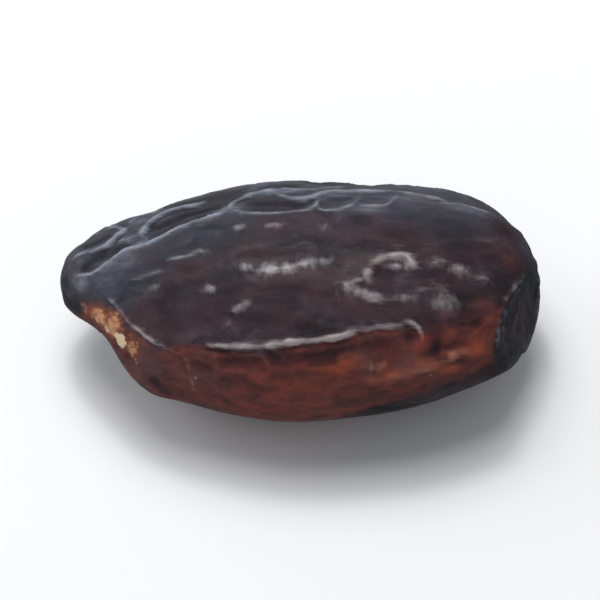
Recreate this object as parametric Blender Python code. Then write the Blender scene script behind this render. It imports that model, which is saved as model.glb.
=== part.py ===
"""A tonka bean: one dried, wrinkled seed that lies on its broad side.

The beak points along -X, the edge with the scar faces -Y and the broad side faces +Z.
The origin is on the ground below the middle of the bean. Sizes are in millimetres
and angles in degrees; the mesh itself is made in metres.
"""

import math

import bmesh
import bpy
import numpy as np
from mathutils import Vector, noise

MM = 0.001

# The whole bean
LENGTH = 30.0
HALF_WIDTH = 7.9
HALF_THICKNESS = 5.7
SECTION_POWER = 2.2
THICKNESS_FULLNESS = 0.88
REST_DEPTH = 0.12

# How its two ends close
TINY = 1e-6
TIP_GAP = 0.001
BEAK_LENGTH = 15.8
BEAK_POWER = 1.84
BEAK_SIDE = 1.2
BEAK_LIFT = 0.36
BEAK_SHIFT_LENGTH = 6.0
BEAK_SHIFT_POWER = 1.6
TAIL_LENGTH = 19.1
TAIL_POWER = 2.7
TAIL_SIDE = 0.5
TAIL_LIFT = 0.2
TAIL_SHIFT_STATION = 25.7
TAIL_SHIFT_LENGTH = 3.5

# The notch of the scar, below the beak
NOTCH_STATION = 2.3
NOTCH_ANGLE = 208.0
NOTCH_SLANT = -38.0
NOTCH_DEPTH = 1.2
NOTCH_HALF_LENGTH = 2.1
NOTCH_HALF_HEIGHT = 2.6

# The flat that the tail end dried with: its place on the tail and where it faces
FLAT_POINT = (12.95, -3.5, 6.6)
FLAT_FACING = (0.87, -0.36, 0.18)
FLAT_EDGE = 0.18

# The relief on the shown side is placed by its distance from the beak's tip and its
# rise in the view from this elevation, above the middle of the bean.
VIEW_ELEVATION = 60.0
SEEN_ANGLES = (0.0, 230.0, 461)

# Ridges of the shown side: height, half width, depth of the trough on the upper side and
# on the lower side, and the points of the route. A ridge is steep where its trough is deeper.
RIDGES = {
    "upper": (0.20, 0.16, 0.16, 0.0, [(0.7, 0.9), (1.2, 1.5), (2.2, 1.7), (3.1, 2.35), (4.3, 3.15),
                                      (5.2, 3.4), (6.4, 3.8), (7.2, 4.35), (8.3, 4.8), (9.4, 5.2),
                                      (10.7, 5.75)]),
    "upper_end": (0.16, 0.15, 0.0, 0.08, [(10.4, 5.6), (10.8, 6.1), (11.5, 6.5), (12.6, 6.85),
                                          (13.6, 6.95)]),
    "beak_fold": (0.15, 0.15, 0.04, 0.12, [(0.6, 2.4), (1.3, 2.8), (2.1, 3.0), (2.9, 3.4), (3.5, 3.95),
                                           (3.9, 4.3), (4.6, 4.6)]),
    "beak_back": (0.10, 0.14, 0.06, 0.0, [(4.1, 4.4), (3.5, 4.55), (2.7, 4.4), (2.0, 4.1)]),
    "beak_crease": (0.08, 0.12, 0.0, 0.05, [(3.6, 3.7), (4.3, 3.75), (5.1, 3.9), (5.7, 3.8)]),
    "shoulder_fold": (0.17, 0.15, 0.0, 0.14, [(5.0, 3.6), (5.3, 4.4), (5.8, 5.0), (6.6, 5.5),
                                              (7.6, 5.95), (8.6, 6.3), (9.6, 6.65)]),
    "shoulder_edge": (0.10, 0.14, 0.0, 0.06, [(4.2, 4.75), (4.9, 5.1), (5.6, 5.35), (6.6, 5.8)]),
    "chain": (0.12, 0.14, 0.08, 0.0, [(10.5, 5.75), (11.3, 5.55), (12.8, 5.45), (14.4, 5.5),
                                      (15.5, 5.65), (16.1, 6.1), (16.3, 6.6)]),
    "chain_next": (0.11, 0.14, 0.08, 0.0, [(15.8, 5.85), (16.4, 5.6), (17.1, 5.6), (17.9, 5.75),
                                           (18.5, 6.1), (18.8, 6.6)]),
    "chain_last": (0.10, 0.14, 0.06, 0.0, [(18.4, 6.0), (19.1, 5.8), (20.2, 5.85), (20.7, 6.15),
                                           (21.2, 6.6)]),
    "chain_top": (0.11, 0.15, 0.0, 0.05, [(12.4, 6.95), (13.4, 6.75), (14.4, 6.4), (15.6, 6.4),
                                          (16.8, 6.75), (18.3, 6.75), (19.9, 6.7), (21.5, 6.7),
                                          (23.3, 6.4), (24.6, 6.05)]),
    "chain_back": (0.08, 0.14, 0.04, 0.0, [(13.6, 7.1), (15.2, 6.95), (16.6, 7.0), (18.0, 7.05)]),
    "tail_fold": (0.10, 0.18, 0.06, 0.0, [(23.4, 6.1), (24.6, 5.95), (25.8, 5.75), (26.9, 5.4),
                                          (27.8, 4.8)]),
    "keel": (0.19, 0.13, 0.0, 0.12, [(8.2, -2.65), (9.0, -2.75), (9.9, -2.8), (11.7, -2.9),
                                     (14.0, -2.67), (15.6, -2.5), (17.1, -2.3), (18.2, -2.0),
                                     (19.2, -1.8)]),
    "keel_end": (0.14, 0.12, 0.0, 0.10, [(18.2, -2.0), (19.4, -1.75), (20.6, -1.6), (21.6, -1.45),
                                         (22.2, -1.65), (22.5, -2.2), (22.5, -2.9)]),
    "collar": (0.10, 0.12, 0.0, 0.04, [(2.8, 0.6), (3.6, -0.35), (4.3, -1.25), (5.2, -1.95),
                                       (6.3, -2.75), (7.1, -3.1), (7.9, -3.8), (8.2, -4.8),
                                       (8.5, -6.1)]),
    "loop_rim": (0.06, 0.22, 0.0, 0.05, [(19.1, 1.2), (19.3, 1.9), (19.9, 2.5), (20.8, 2.8),
                                         (21.6, 2.75), (22.05, 2.3), (22.1, 1.7)]),
    "loop_foot": (0.04, 0.22, 0.02, 0.0, [(19.3, 1.4), (18.6, 1.2), (18.0, 0.8), (18.7, 0.4),
                                          (19.5, 0.2), (20.3, 0.1), (21.4, 0.25)]),
    "pit_rim": (0.08, 0.20, 0.0, 0.05, [(22.9, 2.2), (23.7, 2.3), (24.6, 2.1), (25.3, 1.7),
                                        (26.2, 1.3), (27.0, 0.9)]),
    "soft_rim": (0.04, 0.30, 0.0, 0.03, [(22.2, 0.5), (23.0, 0.7), (23.8, 0.5), (24.3, -0.1),
                                         (24.3, -0.9)]),
    "faint": (0.06, 0.20, 0.03, 0.0, [(17.4, 3.1), (19.5, 3.25), (21.6, 3.3), (23.9, 3.5),
                                      (26.0, 3.6), (28.2, 3.7)]),
    "faint_left": (0.06, 0.16, 0.02, 0.0, [(4.0, 0.9), (5.0, 1.35), (6.0, 1.7), (7.4, 1.95)]),
    "dash": (0.05, 0.18, 0.04, 0.0, [(6.6, 2.4), (7.4, 2.6), (8.2, 2.75), (9.1, 3.15)]),
    "dash_above": (0.04, 0.16, 0.03, 0.0, [(9.6, 4.15), (10.4, 4.3), (11.2, 4.6), (11.9, 4.7)]),
    "slant": (0.08, 0.18, 0.0, 0.02, [(10.8, -0.75), (11.5, -0.25), (12.1, 0.1)]),
    "red_fold": (0.13, 0.26, 0.06, 0.0, [(18.6, -4.6), (19.6, -5.0), (20.9, -4.75), (22.2, -4.3),
                                         (23.4, -3.9), (24.8, -3.4), (26.0, -2.9)]),
    "red_crease": (0.06, 0.20, 0.03, 0.0, [(9.4, -4.3), (12.0, -4.6), (15.0, -4.4), (18.2, -3.9),
                                           (20.4, -3.3)]),
    "flat_rim": (0.07, 0.15, 0.0, 0.04, [(29.4, 1.8), (28.7, 0.9), (27.8, 0.1), (27.45, -1.2),
                                         (27.3, -3.0)]),
    "flat_streak": (0.04, 0.14, 0.0, 0.0, [(29.3, 1.0), (28.6, 0.0), (28.1, -1.2), (28.2, -2.4)]),
    "flat_far_rim": (0.04, 0.14, 0.0, 0.0, [(29.55, 0.2), (29.4, -1.2), (29.0, -2.4)]),
}

# Long hollows of the shown side: depth, half width and the points of the route
HOLLOWS = {
    "beak": (0.19, 0.36, [(1.3, 2.1), (2.1, 2.4), (2.9, 2.85), (3.7, 3.4)]),
    "beak_upper": (0.16, 0.36, [(1.2, 3.25), (2.2, 3.6), (3.3, 4.2)]),
    "shoulder": (0.26, 0.38, [(5.6, 4.2), (6.6, 4.8), (7.8, 5.35), (9.0, 5.8), (10.4, 6.2)]),
    "chain": (0.14, 0.30, [(11.4, 6.0), (12.8, 6.0), (14.4, 5.95), (15.6, 6.05)]),
    "chain_next": (0.13, 0.28, [(16.7, 6.15), (17.6, 6.2), (18.3, 6.35)]),
    "chain_last": (0.11, 0.26, [(19.2, 6.25), (20.0, 6.25), (20.6, 6.45)]),
    "chain_back": (0.08, 0.22, [(14.2, 6.75), (15.4, 6.72), (16.2, 6.85)]),
    "below_keel": (0.10, 0.40, [(10.0, -3.6), (13.0, -3.6), (17.0, -3.25), (20.0, -2.7)]),
    "dash": (0.08, 0.30, [(6.4, 3.0), (7.6, 3.3), (8.8, 3.8)]),
}

# Small bumps of the shown side: station, rise, half length, half width, height
BUMPS = {
    "row_a": (11.6, 2.0, 0.32, 0.34, 0.040),
    "row_b": (13.1, 1.95, 0.55, 0.40, 0.046),
    "row_c": (14.3, 2.1, 0.55, 0.38, 0.044),
    "row_d": (15.5, 2.3, 0.55, 0.34, 0.036),
    "row_e": (16.6, 2.45, 0.60, 0.34, 0.034),
    "left_a": (9.4, 0.65, 0.24, 0.22, 0.036),
    "left_b": (5.9, 0.9, 0.42, 0.22, 0.026),
    "left_c": (8.8, 3.0, 0.40, 0.18, 0.026),
    "left_d": (10.5, -1.5, 0.30, 0.24, 0.024),
    "slant_a": (11.2, -0.5, 0.30, 0.24, 0.032),
    "slant_b": (11.7, -0.1, 0.30, 0.22, 0.032),
    "high_a": (11.0, 4.5, 0.30, 0.20, 0.034),
    "high_b": (13.4, 4.7, 0.50, 0.20, 0.028),
    "high_c": (16.6, 4.5, 0.50, 0.22, 0.018),
    "foot_a": (17.9, 0.9, 0.50, 0.42, 0.036),
    "foot_b": (18.9, 0.45, 0.45, 0.32, 0.040),
    "foot_c": (19.6, 0.25, 0.34, 0.28, 0.044),
    "foot_d": (19.2, 1.4, 0.26, 0.42, 0.032),
    "foot_e": (21.6, 0.35, 0.55, 0.20, 0.022),
    "rim_a": (21.2, 2.75, 0.50, 0.24, 0.034),
    "rim_b": (21.9, 2.35, 0.24, 0.36, 0.040),
    "rim_c": (21.2, 1.95, 0.40, 0.22, 0.026),
    "soft": (23.7, 0.2, 0.60, 0.45, 0.020),
    "pit_a": (23.6, 2.15, 0.34, 0.28, 0.026),
    "pit_b": (24.8, 1.95, 0.40, 0.26, 0.028),
    "pit_c": (26.2, 1.3, 0.30, 0.22, 0.018),
    "red_a": (19.8, -4.2, 0.60, 0.35, 0.026),
    "red_b": (22.4, -4.3, 0.80, 0.22, 0.030),
    "red_c": (24.4, -3.3, 0.40, 0.28, 0.034),
}

# Soft swells (height above 0) and hollows (below 0) of the shown side:
# station, rise, half length, half width, height
SWELLS = {
    "loop_hollow": (20.6, 1.45, 1.00, 0.75, -0.20),
    "pit_hollow": (24.2, 1.1, 0.90, 0.50, -0.14),
    "foot_hollow": (20.6, -0.7, 1.60, 0.45, -0.08),
    "soft_swell": (23.6, 0.0, 0.90, 0.70, 0.08),
    "beak_slope": (3.8, 1.5, 1.80, 0.90, 0.08),
    "keel_end_pit": (21.7, -2.2, 0.50, 0.40, -0.14),
    "fold_pit": (23.5, -2.8, 0.45, 0.70, -0.14),
    "tail_pit": (25.1, -1.4, 0.50, 0.60, -0.14),
    "tail_swell": (26.3, -2.7, 0.90, 0.80, 0.12),
    "tail_pinch": (24.2, -1.0, 0.60, 0.35, 0.08),
    "flat_hollow": (28.6, -1.2, 0.80, 1.60, -0.18),
    "flat_corner": (29.0, -3.0, 0.80, 1.20, 0.22),
    "shoulder": (9.0, 6.3, 2.50, 1.60, -0.36),
    "scar_foot": (6.0, -5.6, 1.40, 1.60, 0.24),
}

# How a ridge is made: the spacing of its points, how far from it the skin is looked at,
# the part of its length over which an end fades, how sharp its crest is, where its trough
# is deepest and how much wider its gentle side is, both in half widths
RIDGE_STEP = 0.12
RIDGE_REACH = 12.0
RIDGE_END = 0.15
CREST_POWER = 1.5
TROUGH_PLACE = 2.4
GENTLE_SIDE = 2.2

# How far the ridges stray from their routes, over what length, and how uneven they are
STRAY = 0.18
STRAY_LENGTH = 1.4
STRAY_FINE = 0.06
STRAY_FINE_LENGTH = 0.5
UNEVEN_LENGTH = 1.3
UNEVENNESS = 0.5
UNEVEN_MIDDLE = 0.85
UNEVEN_TOP = 1.15

# The net of wrinkles on the sides that aren't shown
NET_CELL = (6.4, 2.0, 2.0)
NET_HEIGHT = 0.26
NET_DEPTH = 0.17
NET_LINE = 0.13
NET_WARP = 0.5
NET_WARP_LENGTH = 2.6
NET_HOLLOW = 0.8
NET_STRENGTH = 0.65
NET_CHANGE = 0.5
NET_CHANGE_LENGTH = 5.0
NET_SEED = (3.7, 1.9, 8.2)
NOISE_SEED = 11
SHOWN_NET = 0.05
SHOWN_FROM = 28.0
SHOWN_TO = 212.0
SHOWN_FADE = 22.0
LUMP_HEIGHT = 0.14
LUMP_SIZE = 6.5

# The relief fades this close to the ground and to the beak's tip
REST_SMOOTH = 0.6
TIP_SMOOTH = 0.5

# Steps in millimetres and degrees for finding the main form's normals
NORMAL_STEP = 0.02
NORMAL_TURN = 0.5

# The mesh
RINGS = 190
COLUMNS = 200
TRIANGLES = 11400

SKIN_COLOUR = (0.047, 0.030, 0.031, 1.0)
SKIN_ROUGHNESS = 0.42


def end_cap(distance, length, power):
    """How full the bean is this far from an end, from 0 at the tip to 1."""
    gap = np.clip(1.0 - distance / length, 0.0, 1.0)
    return (1.0 - gap**power) ** (1.0 / power)


def smoothstep(value):
    value = np.clip(value, 0.0, 1.0)
    return value * value * (3.0 - 2.0 * value)


def plain_form(stations, angles):
    """Points of the smooth seed, before its notch and its flat."""
    fullness = end_cap(stations, BEAK_LENGTH, BEAK_POWER)
    fullness = fullness * end_cap(LENGTH - stations, TAIL_LENGTH, TAIL_POWER)
    half_width = HALF_WIDTH * fullness + TINY
    half_thickness = HALF_THICKNESS * fullness**THICKNESS_FULLNESS + TINY
    beak = np.clip(1.0 - stations / BEAK_SHIFT_LENGTH, 0.0, 1.0) ** BEAK_SHIFT_POWER
    tail = np.exp(-(((stations - TAIL_SHIFT_STATION) / TAIL_SHIFT_LENGTH) ** 2))
    side = BEAK_SIDE * beak + TAIL_SIDE * tail
    lift = HALF_THICKNESS - REST_DEPTH + BEAK_LIFT * beak + TAIL_LIFT * tail
    turn = np.radians(angles)
    across = np.abs(np.cos(turn) / half_width) ** SECTION_POWER
    upright = np.abs(np.sin(turn) / half_thickness) ** SECTION_POWER
    radius = (across + upright) ** (-1.0 / SECTION_POWER)
    return np.stack(
        (stations - LENGTH / 2, side + radius * np.cos(turn), lift + radius * np.sin(turn)),
        axis=-1,
    )


def notch_axes():
    """The notch's centre, and the directions along it and into the bean."""
    centre = plain_form(np.array([NOTCH_STATION]), np.array([NOTCH_ANGLE]))[0]
    slant = math.radians(NOTCH_SLANT)
    along = np.array((math.cos(slant), math.sin(slant), 0.0))
    inward = np.array((-math.sin(slant), math.cos(slant), 0.0))
    return centre, along, inward


def notched(points):
    """The points moved in where the scar's notch is."""
    centre, along, inward = notch_axes()
    offset = points - centre
    reach = (offset @ along / NOTCH_HALF_LENGTH) ** 2
    reach += (offset[..., 2] / NOTCH_HALF_HEIGHT) ** 2
    reach += (offset @ inward / NOTCH_HALF_LENGTH) ** 2
    return points + NOTCH_DEPTH * np.exp(-reach)[..., None] * inward


def above_flat(points):
    """How far the points stand in front of the tail's flat."""
    facing = np.array(FLAT_FACING) / np.linalg.norm(FLAT_FACING)
    return (points - np.array(FLAT_POINT)) @ facing, facing


def flattened(points):
    """The points pulled back to the tail's flat, with a rounded edge round it."""
    above, facing = above_flat(points)
    excess = FLAT_EDGE * np.logaddexp(0.0, above / FLAT_EDGE)
    return points - excess[..., None] * facing


def form(stations, angles):
    """Points of the seed's main form, without its wrinkles."""
    return flattened(notched(plain_form(stations, angles)))


def outward(stations, angles):
    """The main form's normals."""
    low = np.clip(stations - NORMAL_STEP, TIP_GAP, LENGTH - TIP_GAP)
    high = np.clip(stations + NORMAL_STEP, TIP_GAP, LENGTH - TIP_GAP)
    lengthwise = form(high, angles) - form(low, angles)
    round_it = form(stations, angles + NORMAL_TURN) - form(stations, angles - NORMAL_TURN)
    normals = np.cross(lengthwise, round_it)
    return -normals / np.linalg.norm(normals, axis=-1, keepdims=True)


def rise_of(points):
    view = math.radians(VIEW_ELEVATION)
    return points[:, 1] * math.sin(view) + (points[:, 2] - HALF_THICKNESS) * math.cos(view)


def shown_point(station, rise):
    """The point of the main form seen at this distance from the beak and this rise."""
    angles = np.linspace(*SEEN_ANGLES)
    points = form(np.full(angles.shape, station), angles)
    rises = rise_of(points)
    first = int(np.argmax(rises))
    last = int(np.argmin(rises))
    angle = np.interp(-rise, -rises[first : last + 1], angles[first : last + 1])
    return form(np.array([station]), np.array([angle]))[0]


def smooth_route(route):
    """A Catmull-Rom curve through a route, as closely spaced points."""
    knots = [np.array(point) for point in route]
    knots = [2 * knots[0] - knots[1]] + knots + [2 * knots[-1] - knots[-2]]
    points = []
    for before, start, end, after in zip(knots, knots[1:], knots[2:], knots[3:]):
        count = max(2, int(np.linalg.norm(end - start) / RIDGE_STEP))
        for step in range(count):
            t = step / count
            points.append(
                0.5 * (2 * start + (end - before) * t
                       + (2 * before - 5 * start + 4 * end - after) * t * t
                       + (3 * start - before - 3 * end + after) * t**3)
            )
    points.append(knots[-2])
    return points


def ridge_relief(points, height, half_width, above, below, route):
    """A crest with a trough along each side, which fades out at its ends."""
    line = np.array([shown_point(*place) for place in smooth_route(route)])
    middle = np.stack((line[:, 0], 0.0 * line[:, 0], 0.0 * line[:, 0] + HALF_THICKNESS), axis=1)
    upper_side = np.cross(line - middle, np.gradient(line, axis=0))
    reach = RIDGE_REACH * half_width
    close = np.all((points > line.min(0) - reach) & (points < line.max(0) + reach), axis=1)
    near = np.full(close.sum(), 1e9)
    where = np.zeros(close.sum())
    is_above = np.zeros(close.sum(), dtype=bool)
    for index, place in enumerate(line):
        offset = points[close] - place
        distance = np.linalg.norm(offset, axis=1)
        closer = distance < near
        near[closer] = distance[closer]
        where[closer] = index / (len(line) - 1)
        is_above[closer] = offset[closer] @ upper_side[index] > 0.0
    fade = smoothstep(np.minimum(where, 1.0 - where) / RIDGE_END + RIDGE_END)
    depth = np.where(is_above, above, below)
    side_width = half_width * np.where(depth < max(above, below), GENTLE_SIDE, 1.0)
    crest = 1.0 / (1.0 + (near / side_width) ** 2) ** CREST_POWER
    out = (near / (TROUGH_PLACE * half_width)) ** 2
    raised = np.zeros(len(points))
    raised[close] = fade * (height * crest - depth * out * np.exp(1.0 - out))
    return raised


def swell_relief(points, station, rise, half_length, half_width, height):
    offset = points - shown_point(station, rise)
    lengthwise = offset[:, 0] ** 2
    across = offset[:, 1] ** 2 + offset[:, 2] ** 2
    return height * np.exp(-lengthwise / half_length**2 - across / half_width**2)


def net_relief(point):
    """Long wrinkles that meet in a net, with hollows between them."""
    place = Vector(point) + Vector(NET_SEED)
    warp = noise.noise_vector(place / NET_WARP_LENGTH) * NET_WARP
    cell = Vector([place[i] / NET_CELL[i] for i in range(3)]) + warp
    nearest, second = noise.voronoi(cell)[0][:2]
    gap = second - nearest
    crest = 1.0 / (1.0 + (gap / NET_LINE) ** 2)
    hollow = smoothstep(gap / NET_HOLLOW)
    strength = NET_STRENGTH + NET_CHANGE * noise.noise(place / NET_CHANGE_LENGTH)
    return strength * (NET_HEIGHT * crest - NET_DEPTH * hollow)


def lump_relief(point):
    return LUMP_HEIGHT * noise.noise(Vector(point) / LUMP_SIZE + Vector(NET_SEED))


def strayed(point):
    """The point, moved a little, so that a ridge placed by it wanders off its route."""
    place = Vector(point)
    finely = STRAY_FINE * noise.noise_vector(place / STRAY_FINE_LENGTH)
    return place + STRAY * noise.noise_vector(place / STRAY_LENGTH) + finely


def unevenness(point):
    return min(UNEVEN_TOP, UNEVEN_MIDDLE + UNEVENNESS * noise.noise(Vector(point) / UNEVEN_LENGTH))


def relief(points, angles):
    """How far the skin stands out from the main form."""
    wandering = np.array([strayed(point) for point in points])
    uneven = np.array([unevenness(point) for point in points])
    total = np.zeros(len(points))
    for ridge in RIDGES.values():
        total += ridge_relief(wandering, *ridge) * uneven
    for depth, half_width, route in HOLLOWS.values():
        total += ridge_relief(wandering, -depth, half_width, 0.0, 0.0, route)
    for swell in SWELLS.values():
        total += swell_relief(points, *swell)
    for bump in BUMPS.values():
        total += swell_relief(wandering, *bump)
    middle = (SHOWN_FROM + SHOWN_TO) / 2
    reach = (SHOWN_TO - SHOWN_FROM) / 2
    from_middle = np.abs((angles - middle + 180.0) % 360.0 - 180.0)
    hidden = smoothstep((from_middle - reach) / SHOWN_FADE + 0.5)
    net = np.array([net_relief(point) for point in points])
    total += net * (SHOWN_NET + (1.0 - SHOWN_NET) * hidden)
    total += np.array([lump_relief(point) for point in points])
    smooth = smoothstep(points[:, 2] / REST_SMOOTH)
    smooth = smooth * smoothstep((points[:, 0] + LENGTH / 2) / TIP_SMOOTH)
    return total * smooth


def ring_stations():
    """Stations spaced evenly along the seed's outline."""
    fine = LENGTH * (1.0 - np.cos(np.linspace(0.0, math.pi, 2001))) / 2
    profile = plain_form(fine, np.zeros(fine.shape))
    steps = np.linalg.norm(np.diff(profile, axis=0), axis=1)
    travelled = np.concatenate(([0.0], np.cumsum(steps)))
    wanted = np.linspace(0.0, travelled[-1], RINGS + 2)[1:-1]
    return np.interp(wanted, travelled, fine)


def skin_mesh():
    """The wrinkled skin as one closed mesh of rings, with a point at each tip."""
    turns = np.arange(COLUMNS) * 360.0 / COLUMNS
    stations, angles = [grid.ravel() for grid in np.meshgrid(ring_stations(), turns, indexing="ij")]
    stations = np.concatenate((stations, (TIP_GAP, LENGTH - TIP_GAP)))
    angles = np.concatenate((angles, (0.0, 0.0)))
    points = form(stations, angles)
    normals = outward(stations, angles)
    normals[-2:] = ((-1.0, 0.0, 0.0), (1.0, 0.0, 0.0))
    points += relief(points, angles)[:, None] * normals

    def at(ring, column):
        return ring * COLUMNS + column % COLUMNS

    beak_tip, tail_tip = RINGS * COLUMNS, RINGS * COLUMNS + 1
    faces = [
        (at(r, c), at(r, c + 1), at(r + 1, c + 1), at(r + 1, c))
        for r in range(RINGS - 1)
        for c in range(COLUMNS)
    ]
    faces += [(beak_tip, at(0, c + 1), at(0, c)) for c in range(COLUMNS)]
    faces += [(tail_tip, at(RINGS - 1, c), at(RINGS - 1, c + 1)) for c in range(COLUMNS)]
    mesh = bpy.data.meshes.new("bean")
    mesh.from_pydata((points * MM).tolist(), [], faces)
    return mesh


def thinned(mesh, triangles):
    """The mesh with about this many triangles, most of them along the ridges."""
    helper = bpy.data.objects.new("thinning", mesh)
    bpy.context.collection.objects.link(helper)
    decimate = helper.modifiers.new("Thin", "DECIMATE")
    decimate.ratio = triangles / (2 * RINGS * COLUMNS)
    graph = bpy.context.evaluated_depsgraph_get()
    result = bpy.data.meshes.new_from_object(helper.evaluated_get(graph))
    bpy.data.objects.remove(helper)
    return result


def rest_on_ground(mesh):
    """Cuts the small flat spot that the bean lies on, at Z = 0."""
    shape = bmesh.new()
    shape.from_mesh(mesh)
    geometry = shape.verts[:] + shape.edges[:] + shape.faces[:]
    bmesh.ops.bisect_plane(
        shape, geom=geometry, dist=1e-7, plane_co=(0, 0, 0), plane_no=(0, 0, 1), clear_inner=True
    )
    rim = [edge for edge in shape.edges if edge.is_boundary]
    bmesh.ops.edgeloop_fill(shape, edges=rim)
    bmesh.ops.recalc_face_normals(shape, faces=shape.faces)
    shape.to_mesh(mesh)
    shape.free()


def skin_material():
    material = bpy.data.materials.new("bean_skin")
    material.use_nodes = True
    shader = material.node_tree.nodes["Principled BSDF"]
    shader.inputs["Base Color"].default_value = SKIN_COLOUR
    shader.inputs["Roughness"].default_value = SKIN_ROUGHNESS
    shader.inputs["Metallic"].default_value = 0.0
    return material


def main():
    for old in list(bpy.data.objects):
        bpy.data.objects.remove(old)
    noise.seed_set(NOISE_SEED)
    mesh = thinned(skin_mesh(), TRIANGLES)
    rest_on_ground(mesh)
    mesh.shade_smooth()
    mesh.materials.clear()
    mesh.materials.append(skin_material())
    bean = bpy.data.objects.new("bean", mesh)
    bpy.context.collection.objects.link(bean)


main()
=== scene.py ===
"""The looks of a tonka bean: its wrinkled skin, its scar, and a plain pale studio.

The beak points along -X, the edge with the scar faces -Y and the broad side faces +Z.
The bean's form is worked out in millimetres and degrees; objects are made in metres.
"""

import math

import bpy
import numpy as np
from mathutils import Matrix, Vector, noise


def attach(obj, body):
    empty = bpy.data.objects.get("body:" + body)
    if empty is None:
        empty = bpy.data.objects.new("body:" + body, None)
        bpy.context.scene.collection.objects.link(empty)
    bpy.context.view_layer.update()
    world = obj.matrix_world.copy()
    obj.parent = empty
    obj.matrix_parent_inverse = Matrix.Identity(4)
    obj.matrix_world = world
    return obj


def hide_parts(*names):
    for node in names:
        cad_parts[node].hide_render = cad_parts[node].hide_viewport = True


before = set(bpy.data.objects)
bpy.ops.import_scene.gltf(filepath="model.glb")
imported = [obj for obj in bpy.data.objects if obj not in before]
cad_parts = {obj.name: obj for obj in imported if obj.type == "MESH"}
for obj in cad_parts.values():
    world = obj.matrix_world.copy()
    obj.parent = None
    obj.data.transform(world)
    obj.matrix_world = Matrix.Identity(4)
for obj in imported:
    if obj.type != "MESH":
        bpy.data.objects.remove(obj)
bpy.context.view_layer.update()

MM = 0.001

# The whole bean
LENGTH = 30.0
HALF_WIDTH = 7.9
HALF_THICKNESS = 5.7
SECTION_POWER = 2.2
THICKNESS_FULLNESS = 0.88
REST_DEPTH = 0.12

# How its two ends close
TINY = 1e-6
TIP_GAP = 0.001
BEAK_LENGTH = 15.8
BEAK_POWER = 1.84
BEAK_SIDE = 1.2
BEAK_LIFT = 0.36
BEAK_SHIFT_LENGTH = 6.0
BEAK_SHIFT_POWER = 1.6
TAIL_LENGTH = 19.1
TAIL_POWER = 2.7
TAIL_SIDE = 0.5
TAIL_LIFT = 0.2
TAIL_SHIFT_STATION = 25.7
TAIL_SHIFT_LENGTH = 3.5

# The notch of the scar, below the beak
NOTCH_STATION = 2.3
NOTCH_ANGLE = 208.0
NOTCH_SLANT = -38.0
NOTCH_DEPTH = 1.2
NOTCH_HALF_LENGTH = 2.1
NOTCH_HALF_HEIGHT = 2.6

# The flat that the tail end dried with: its place on the tail and where it faces
FLAT_POINT = (12.95, -3.5, 6.6)
FLAT_FACING = (0.87, -0.36, 0.18)
FLAT_EDGE = 0.18

# The relief on the shown side is placed by its distance from the beak's tip and its
# rise in the view from this elevation, above the middle of the bean.
VIEW_ELEVATION = 60.0

# The angles round the bean that a place is looked for at: first, last, count
SEEN_ANGLES = (0.0, 230.0, 461)

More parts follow.
